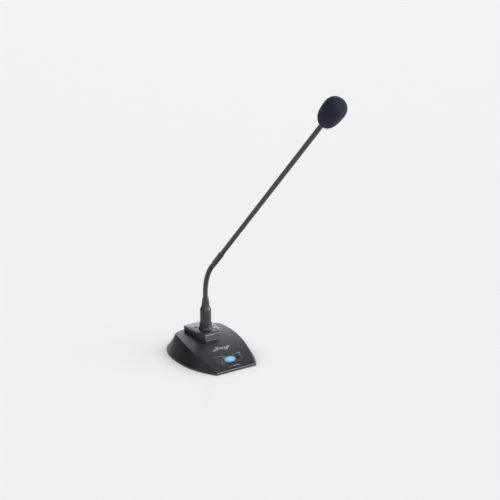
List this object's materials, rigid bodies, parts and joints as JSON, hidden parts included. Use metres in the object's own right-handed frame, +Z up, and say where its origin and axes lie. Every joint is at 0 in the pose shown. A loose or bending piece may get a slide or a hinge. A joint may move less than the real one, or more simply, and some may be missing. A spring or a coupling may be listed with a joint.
{
  "type": "gooseneck podium microphone",
  "caption": "Desktop paging microphone: heavy sloped base with a lit talk switch and a plug-in socket, a long forward-leaning gooseneck and an oval foam windscreen.",
  "frame": {"origin": "on the table, directly under the axis of the gooseneck's plug", "axes": "+Z up, -Y to the front, where the speaker sits and the gooseneck leans, +X to the right as seen from the front"},
  "size_m": [0.13, 0.4502, 0.5326],
  "materials": {
    "base_paint": "satin",
    "plate_edge": "satin",
    "rubber": "matte",
    "steel_screw": "satin",
    "ballast": "matte",
    "circuit_board": "satin",
    "components": "satin",
    "brass": "satin",
    "panel_gloss": "gloss",
    "bezel": "gloss",
    "black_plastic": "satin",
    "white_light": "gloss",
    "red_light": "gloss",
    "block_paint": "satin",
    "block_plate": "satin",
    "black_screw": "satin",
    "button_lens": "gloss",
    "silver_contact": "polished",
    "plug_black": "satin",
    "neck_black": "satin",
    "tube_black": "satin",
    "capsule_metal": "satin",
    "foam": "matte"
  },
  "bodies": {
    "base": {"base_cover": "base_paint", "bottom_plate": "plate_edge", "rubber_pad": "rubber", "base_screws": "steel_screw", "ballast_weights": "ballast", "control_board": "circuit_board", "board_components": "components", "board_screws": "steel_screw", "board_standoffs": "brass", "control_panel": "panel_gloss", "button_bezel": "bezel", "switch_housing": "black_plastic", "switch_board": "circuit_board", "switch_board_screws": "steel_screw", "button_leds": "white_light", "power_light": "white_light", "record_light": "red_light", "connector_block": "block_paint", "top_plate": "block_plate", "plate_screws": "black_screw", "release_spring": "steel_screw", "socket_housing": "black_plastic", "socket_insert": "black_plastic", "socket_contacts": "brass", "socket_collar": "black_plastic", "output_shell": "black_screw", "output_insert": "black_plastic", "output_pins": "silver_contact", "output_screws": "black_screw"},
    "talk_button": {"talk_button": "button_lens", "switch_plunger": "black_plastic"},
    "release_tab": {"release_tab": "black_plastic"},
    "plug": {"plug_shell": "plug_black", "plug_insert": "black_plastic", "plug_pins": "silver_contact", "shoulder_ring": "plug_black", "neck_ferrule": "plug_black", "neck_root": "neck_black"},
    "link_1": {"neck_link_1": "neck_black"},
    "link_2": {"neck_link_2": "neck_black"},
    "link_3": {"neck_link_3": "neck_black"},
    "link_4": {"neck_link_4": "neck_black"},
    "link_5": {"neck_link_5": "neck_black"},
    "link_6": {"neck_link_6": "neck_black"},
    "link_7": {"neck_link_7": "neck_black"},
    "link_8": {"neck_link_8": "neck_black"},
    "link_9": {"neck_link_9": "neck_black"},
    "mic_head": {"neck_tip": "neck_black", "neck_sleeve": "neck_black", "upper_tube": "tube_black", "tube_cable": "rubber", "capsule_housing": "tube_black", "capsule_board": "circuit_board", "capsule_holder": "rubber", "capsule": "capsule_metal", "capsule_grille": "tube_black"},
    "windscreen": {"foam_windscreen": "foam"}
  },
  "joints": [
    {"name": "talk_press", "type": "slide", "parent": "base", "child": "talk_button", "axis": [0, 0.3831, -0.9237], "range_m": [0, 0.0008], "stiffness_N_per_m": 1500},
    {"name": "release_press", "type": "slide", "parent": "base", "child": "release_tab", "axis": [0, 0, -1], "range_m": [0, 0.0012], "stiffness_N_per_m": 800, "deforming": ["release_spring"]},
    {"name": "plug_pull", "type": "slide", "parent": "base", "child": "plug", "axis": [0, 0, 1], "range_m": [0, 0.04]},
    {"name": "neck_pitch_1", "type": "hinge", "parent": "plug", "child": "link_1", "pos_m": [0, 0, 0.10429], "axis": [1, 0, 0], "range_deg": [-18, 9]},
    {"name": "neck_side_1", "type": "hinge", "parent": "link_1", "child": "link_2", "pos_m": [0, -0.00005, 0.11228], "axis": [0, 1, 0.0058], "range_deg": [-14, 14]},
    {"name": "neck_pitch_2", "type": "hinge", "parent": "link_2", "child": "link_3", "pos_m": [0, -0.00073, 0.12023], "axis": [1, 0, 0], "range_deg": [-18, 9]},
    {"name": "neck_side_2", "type": "hinge", "parent": "link_3", "child": "link_4", "pos_m": [0, -0.00222, 0.12808], "axis": [0, 0.9824, 0.187], "range_deg": [-14, 14]},
    {"name": "neck_pitch_3", "type": "hinge", "parent": "link_4", "child": "link_5", "pos_m": [0, -0.00451, 0.13573], "axis": [1, 0, 0], "range_deg": [-18, 9]},
    {"name": "neck_side_3", "type": "hinge", "parent": "link_5", "child": "link_6", "pos_m": [0, -0.00757, 0.1431], "axis": [0, 0.9238, 0.3829], "range_deg": [-14, 14]},
    {"name": "neck_pitch_4", "type": "hinge", "parent": "link_6", "child": "link_7", "pos_m": [0, -0.01136, 0.15013], "axis": [1, 0, 0], "range_deg": [-18, 9]},
    {"name": "neck_side_4", "type": "hinge", "parent": "link_7", "child": "link_8", "pos_m": [0, -0.01586, 0.15673], "axis": [0, 0.8266, 0.5628], "range_deg": [-14, 14]},
    {"name": "neck_pitch_5", "type": "hinge", "parent": "link_8", "child": "link_9", "pos_m": [0, -0.021, 0.16283], "axis": [1, 0, 0], "range_deg": [-18, 9]},
    {"name": "neck_side_5", "type": "hinge", "parent": "link_9", "child": "mic_head", "pos_m": [0, -0.02654, 0.16858], "axis": [0, 0.7203, 0.6937], "range_deg": [-14, 14]},
    {"name": "windscreen_pull", "type": "slide", "parent": "mic_head", "child": "windscreen", "axis": [0, -0.6947, 0.7193], "range_m": [0, 0.06]}
  ],
  "couplings": [
    {"joint": "neck_pitch_2", "follows": "neck_pitch_1", "ratio": 1},
    {"joint": "neck_side_2", "follows": "neck_side_1", "ratio": 1},
    {"joint": "neck_pitch_3", "follows": "neck_pitch_1", "ratio": 1},
    {"joint": "neck_side_3", "follows": "neck_side_1", "ratio": 1},
    {"joint": "neck_pitch_4", "follows": "neck_pitch_1", "ratio": 1},
    {"joint": "neck_side_4", "follows": "neck_side_1", "ratio": 1},
    {"joint": "neck_pitch_5", "follows": "neck_pitch_1", "ratio": 1},
    {"joint": "neck_side_5", "follows": "neck_side_1", "ratio": 1}
  ]
}
